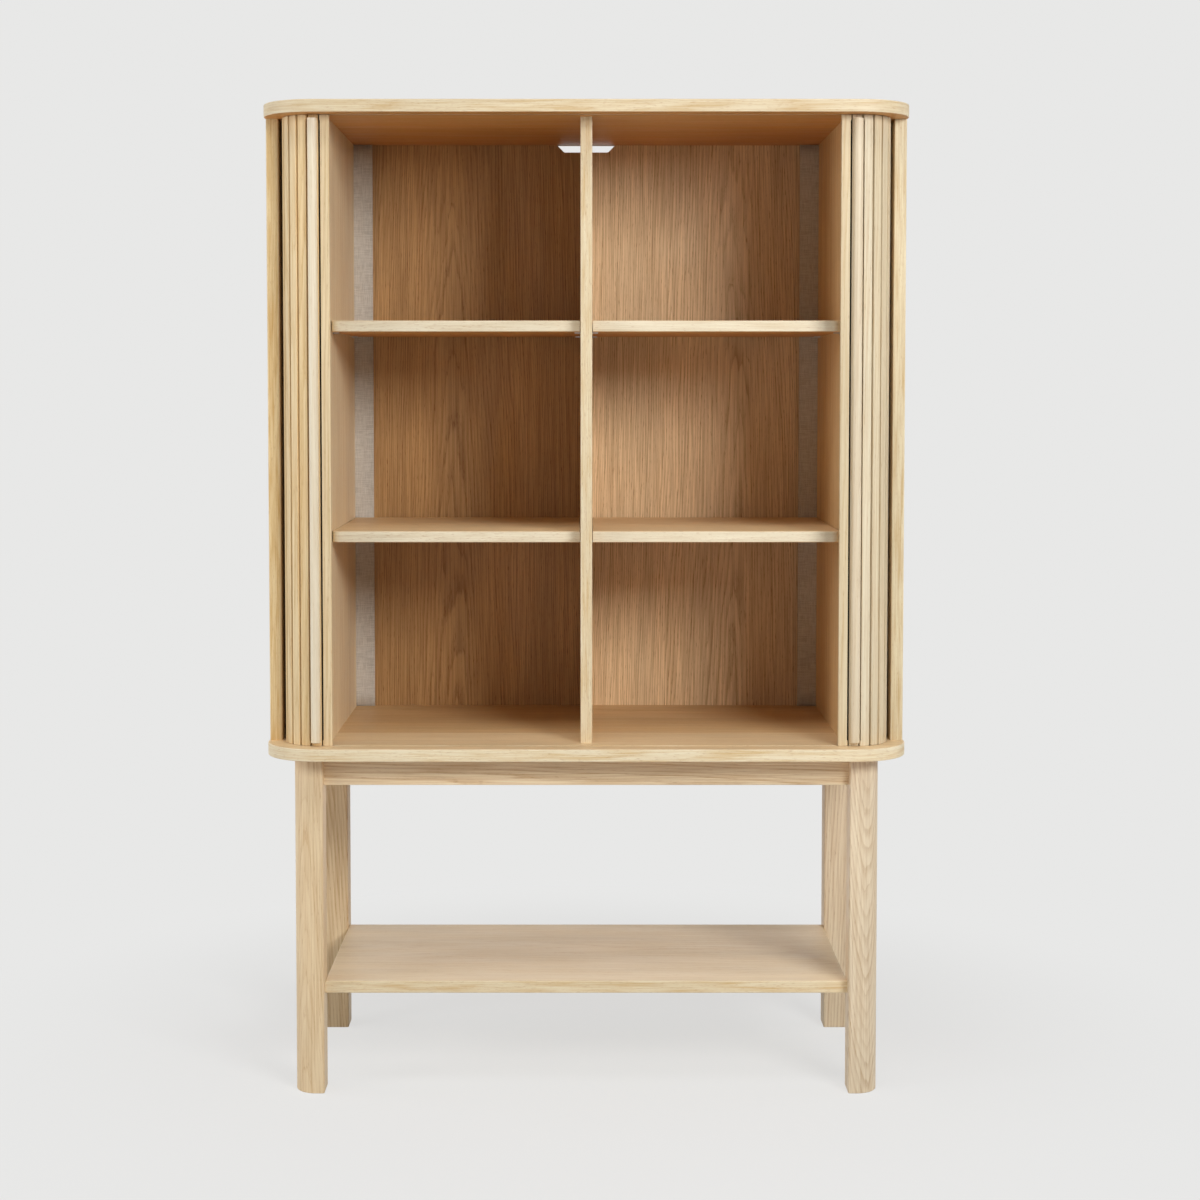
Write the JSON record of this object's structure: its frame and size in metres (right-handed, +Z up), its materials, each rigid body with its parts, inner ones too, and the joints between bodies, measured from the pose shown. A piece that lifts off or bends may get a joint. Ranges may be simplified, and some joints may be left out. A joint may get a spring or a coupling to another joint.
{
  "type": "pocket door cabinet",
  "caption": "Oak cabinet with tambour pocket doors, loose shelves in two bays, and a leg frame with an open lower shelf.",
  "frame": {"origin": "on the floor, under the middle of the top panel", "axes": "+Z up, +X to the right as seen from the front, the doors' side faces -Y"},
  "size_m": [0.98, 0.47, 1.51],
  "materials": {
    "oak_panel": "satin clear lacquer",
    "oak_side": "satin clear lacquer",
    "oak_liner": "satin clear lacquer",
    "oak_back": "satin clear lacquer",
    "oak_shelf": "satin clear lacquer",
    "oak_frame": "satin clear lacquer",
    "oak_slat": "satin clear lacquer",
    "pull_wood": "satin clear lacquer",
    "canvas": "matt woven cotton",
    "pin_steel": "satin nickel",
    "beech": "bare"
  },
  "bodies": {
    "cabinet": {"top_panel": "oak_panel", "bottom_panel": "oak_panel", "side_panel_left": "oak_side", "side_panel_right": "oak_side", "centre_divider": "oak_side", "pocket_liner_left": "oak_liner", "pocket_liner_right": "oak_liner", "back_panel": "oak_back", "shelf_lower_left": "oak_shelf", "shelf_lower_right": "oak_shelf", "shelf_upper_left": "oak_shelf", "shelf_upper_right": "oak_shelf", "lower_shelf": "oak_shelf", "leg_front_left": "oak_frame", "leg_front_right": "oak_frame", "leg_rear_left": "oak_frame", "leg_rear_right": "oak_frame", "front_apron": "oak_frame", "rear_apron": "oak_frame", "side_apron_left": "oak_frame", "side_apron_right": "oak_frame", "slats_front_turn_left": "oak_slat", "slats_side_run_left": "oak_slat", "slats_rear_turn_left": "oak_slat", "slats_rear_run_left": "oak_slat", "slats_front_turn_right": "oak_slat", "slats_side_run_right": "oak_slat", "slats_rear_turn_right": "oak_slat", "slats_rear_run_right": "oak_slat", "finger_slat_left": "oak_slat", "finger_slat_right": "oak_slat", "canvas_left": "canvas", "canvas_right": "canvas", "shelf_pins": "pin_steel", "base_screws": "pin_steel", "carcass_dowels": "beech", "apron_dowels": "beech", "lower_shelf_dowels": "beech", "corner_braces": "beech"},
    "left_door_lead": {"lead_stile_left": "oak_slat", "handle_slat_left": "oak_slat", "handle_pull_left": "pull_wood", "canvas_lead_left": "canvas"},
    "right_door_lead": {"lead_stile_right": "oak_slat", "handle_slat_right": "oak_slat", "handle_pull_right": "pull_wood", "canvas_lead_right": "canvas"}
  },
  "joints": [
    {"name": "left_door_slide", "type": "slide", "parent": "cabinet", "child": "left_door_lead", "axis": [1, 0, 0], "range_m": [0, 0.3851]},
    {"name": "right_door_slide", "type": "slide", "parent": "cabinet", "child": "right_door_lead", "axis": [-1, 0, 0], "range_m": [0, 0.3818]}
  ]
}
